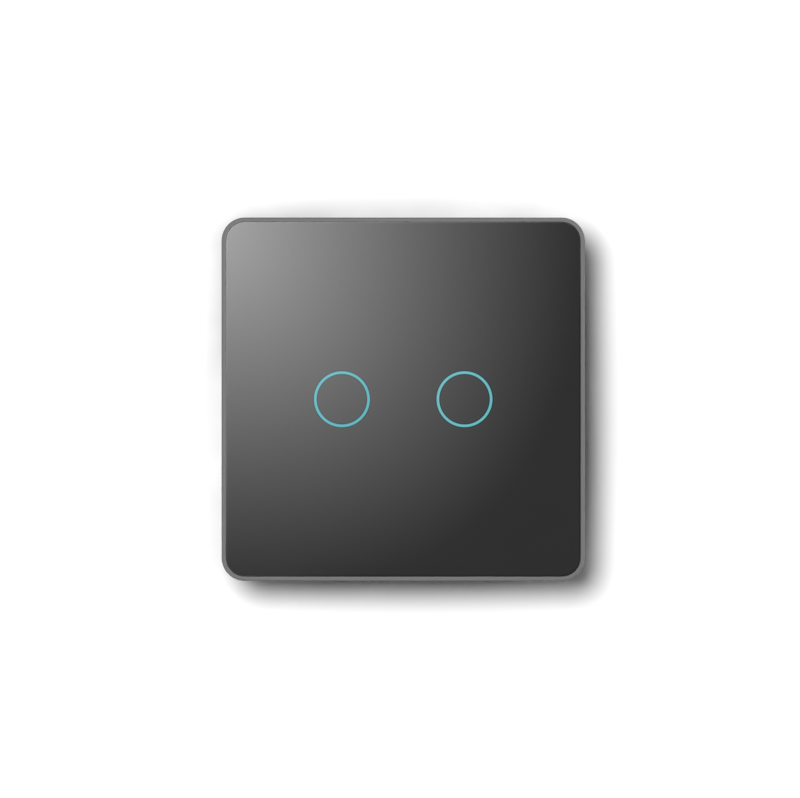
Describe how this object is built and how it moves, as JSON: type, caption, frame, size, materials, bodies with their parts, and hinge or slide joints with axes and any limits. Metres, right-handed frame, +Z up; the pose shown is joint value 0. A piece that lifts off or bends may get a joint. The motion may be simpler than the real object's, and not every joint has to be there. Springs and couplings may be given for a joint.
{
  "type": "touch scene switch",
  "caption": "Square glass touch switch with lit key rings in a thin metal frame, snapped over a steel mounting plate with a moulded back box and rising-clamp terminals.",
  "frame": {"origin": "midway between the two wall screws, on the wall surface", "axes": "+X to the right as seen from the room, +Y into the wall, +Z up"},
  "size_m": [0.086, 0.035, 0.086],
  "materials": {
    "anodised_frame": "satin grey anodised",
    "front_glass": "polished, dark from behind",
    "black_print": "black ink",
    "tape": "black foam tape",
    "black_moulding": "fine spark texture",
    "lit_ring": "diffusing, lit from behind",
    "spring_steel": "bright spring strip",
    "sensor_foam": "conductive grey foam",
    "lamp": "small surface lamps",
    "touch_board_laminate": "blue-black solder mask",
    "shield_can": "tinned can on a small board",
    "chip": "moulded black package",
    "connector": "black moulding",
    "zinc_plate": "zinc plated",
    "box_moulding": "light grey, fine texture",
    "screw": "zinc plated",
    "power_board_laminate": "green solder mask",
    "choke_case": "dark ferrite case",
    "ferrite": "dark ferrite",
    "winding_tape": "yellow tape",
    "capacitor_sleeve": "dark sleeve",
    "filter_case": "yellow case",
    "varistor_coat": "blue coat",
    "terminal_moulding": "green terminal moulding",
    "contact_brass": "tinned brass",
    "clamp_steel": "zinc plated"
  },
  "bodies": {
    "base": {"mounting_plate": "zinc_plate", "back_box": "box_moulding", "inner_cover": "box_moulding", "box_screws": "screw", "power_board": "power_board_laminate", "board_socket": "connector", "transformer_core": "ferrite", "transformer_winding": "winding_tape", "bulk_capacitor": "capacitor_sleeve", "output_capacitor": "capacitor_sleeve", "filter_capacitor": "filter_case", "line_choke": "choke_case", "varistor": "varistor_coat", "bridge_rectifier": "chip", "terminal_housing": "terminal_moulding", "terminal_contacts": "contact_brass"},
    "front_panel": {"metal_frame": "anodised_frame", "glass_panel": "front_glass", "printed_film": "black_print", "adhesive_tape": "tape", "front_carrier": "black_moulding", "light_ring_left": "lit_ring", "light_ring_right": "lit_ring", "pad_sleeve_left": "black_moulding", "pad_sleeve_right": "black_moulding", "sensor_pad_left": "sensor_foam", "sensor_pad_right": "sensor_foam", "lamps_left": "lamp", "lamps_right": "lamp", "touch_board": "touch_board_laminate", "radio_module": "shield_can", "touch_chip": "chip", "board_header": "connector", "retaining_clips": "spring_steel"},
    "terminal_screw_1": {"terminal_screw_1": "screw"},
    "terminal_clamp_1": {"terminal_clamp_1": "clamp_steel"},
    "terminal_screw_2": {"terminal_screw_2": "screw"},
    "terminal_clamp_2": {"terminal_clamp_2": "clamp_steel"}
  },
  "joints": [
    {"name": "front_panel_release", "type": "slide", "parent": "base", "child": "front_panel", "axis": [0, -1, 0], "range_m": [0, 0.02], "deforming": ["retaining_clips"]},
    {"name": "terminal_screw_1_turn", "type": "hinge", "parent": "base", "child": "terminal_screw_1", "pos_m": [-0.00375, 0.0185, -0.0203], "axis": [0, -1, 0], "range_deg": [0, 1728]},
    {"name": "terminal_clamp_1_rise", "type": "slide", "parent": "base", "child": "terminal_clamp_1", "axis": [0, 1, 0], "range_m": [0, 0.0024]},
    {"name": "terminal_screw_2_turn", "type": "hinge", "parent": "base", "child": "terminal_screw_2", "pos_m": [0.00375, 0.0185, -0.0203], "axis": [0, -1, 0], "range_deg": [0, 1728]},
    {"name": "terminal_clamp_2_rise", "type": "slide", "parent": "base", "child": "terminal_clamp_2", "axis": [0, 1, 0], "range_m": [0, 0.0024]}
  ],
  "couplings": [
    {"joint": "terminal_screw_1_turn", "follows": "terminal_clamp_1_rise", "rad_per_m": 12566},
    {"joint": "terminal_screw_2_turn", "follows": "terminal_clamp_2_rise", "rad_per_m": 12566}
  ]
}
